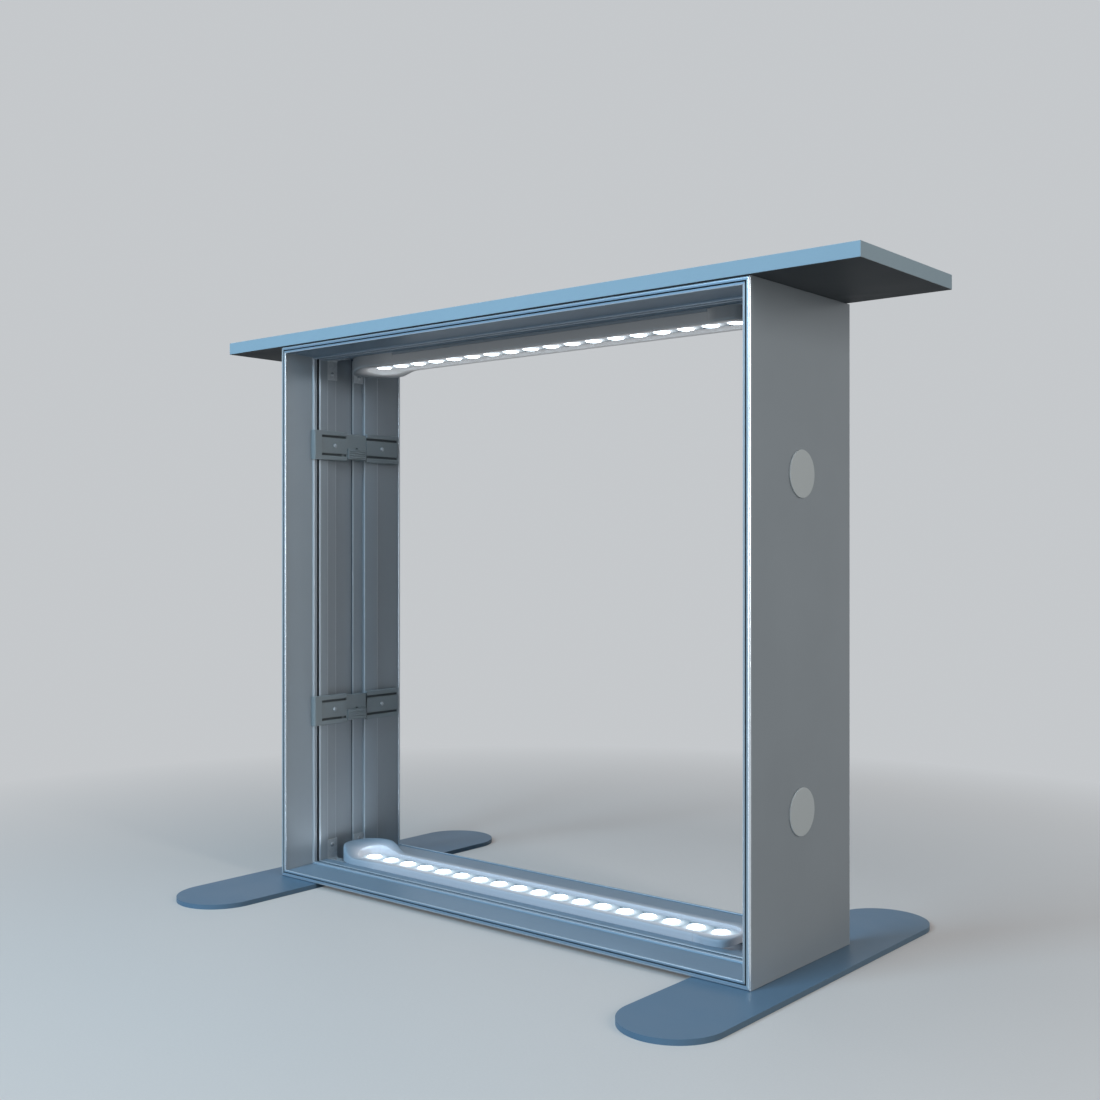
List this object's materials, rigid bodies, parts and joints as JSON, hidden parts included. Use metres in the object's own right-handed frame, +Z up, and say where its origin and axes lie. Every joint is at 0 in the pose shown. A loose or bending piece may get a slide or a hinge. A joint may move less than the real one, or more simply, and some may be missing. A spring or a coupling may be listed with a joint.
{
  "type": "lightbox counter",
  "caption": "Free-standing light box frame with a worktop: mitred aluminium profiles, lens light bars top and bottom, bridge clips, cable port caps and round-ended foot plates.",
  "frame": {"origin": "on the floor under the middle of the worktop", "axes": "+X to the right along the worktop, -Y towards the front, +Z up"},
  "size_m": [1.316, 0.734, 1],
  "materials": {
    "satin_aluminium": "satin anodised, fine lengthwise grain",
    "bracket_steel": "zinc plated",
    "white_laminate": "board with a satin white laminate and edge band",
    "powder_coated_steel": "pale powder coat",
    "white_plastic": "satin moulded",
    "pale_cap_plastic": "satin moulded",
    "white_circuit_board": "white solder mask with clear lenses",
    "zinc_steel": "zinc plated",
    "brass": "turned",
    "black_nylon": "moulded",
    "magnet_nickel": "nickel plated"
  },
  "bodies": {
    "root": {"bottom_profile": "satin_aluminium", "top_profile": "satin_aluminium", "left_profile": "satin_aluminium", "right_profile": "satin_aluminium", "corner_bracket_bottom_left_front": "bracket_steel", "corner_bracket_bottom_left_rear": "bracket_steel", "corner_bracket_bottom_right_front": "bracket_steel", "corner_bracket_bottom_right_rear": "bracket_steel", "corner_bracket_top_left_front": "bracket_steel", "corner_bracket_top_left_rear": "bracket_steel", "corner_bracket_top_right_front": "bracket_steel", "corner_bracket_top_right_rear": "bracket_steel", "countertop": "white_laminate", "thumbscrew_left_front": "black_nylon", "thumbscrew_left_rear": "black_nylon", "thumbscrew_right_front": "black_nylon", "thumbscrew_right_rear": "black_nylon", "insert_left_front": "brass", "insert_left_rear": "brass", "insert_right_front": "brass", "insert_right_rear": "brass", "left_foot": "powder_coated_steel", "right_foot": "powder_coated_steel", "left_foot_bolt_front": "zinc_steel", "left_foot_bolt_rear": "zinc_steel", "right_foot_bolt_front": "zinc_steel", "right_foot_bolt_rear": "zinc_steel", "bottom_bar_tray": "white_plastic", "bottom_bar_left_housing": "white_plastic", "bottom_bar_right_housing": "white_plastic", "bottom_bar_led_board": "white_circuit_board", "bottom_bar_inlet": "black_nylon", "bottom_bar_magnet_1": "magnet_nickel", "bottom_bar_magnet_2": "magnet_nickel", "bottom_bar_magnet_3": "magnet_nickel", "bottom_bar_magnet_4": "magnet_nickel", "top_bar_tray": "white_plastic", "top_bar_left_housing": "white_plastic", "top_bar_right_housing": "white_plastic", "top_bar_led_board": "white_circuit_board", "top_bar_inlet": "black_nylon", "top_bar_hanger_1": "white_plastic", "top_bar_hanger_2": "white_plastic", "top_bar_hanger_3": "white_plastic", "upper_clip_front_plate": "white_plastic", "upper_clip_rear_plate": "white_plastic", "upper_clip_bridge": "white_plastic", "upper_clip_front_screw": "zinc_steel", "upper_clip_rear_screw": "zinc_steel", "lower_clip_front_plate": "white_plastic", "lower_clip_rear_plate": "white_plastic", "lower_clip_bridge": "white_plastic", "lower_clip_front_screw": "zinc_steel", "lower_clip_rear_screw": "zinc_steel"},
    "upper_latch": {"upper_clip_latch": "white_plastic"},
    "lower_latch": {"lower_clip_latch": "white_plastic"},
    "upper_cap": {"upper_port_cap": "pale_cap_plastic"},
    "lower_cap": {"lower_port_cap": "pale_cap_plastic"}
  },
  "joints": [
    {"name": "upper_latch_slide", "type": "slide", "parent": "root", "child": "upper_latch", "axis": [0, 0, 1], "range_m": [0, 0.008]},
    {"name": "lower_latch_slide", "type": "slide", "parent": "root", "child": "lower_latch", "axis": [0, 0, 1], "range_m": [0, 0.008]},
    {"name": "upper_cap_pull", "type": "slide", "parent": "root", "child": "upper_cap", "axis": [1, 0, 0], "range_m": [0, 0.012]},
    {"name": "lower_cap_pull", "type": "slide", "parent": "root", "child": "lower_cap", "axis": [1, 0, 0], "range_m": [0, 0.012]}
  ]
}
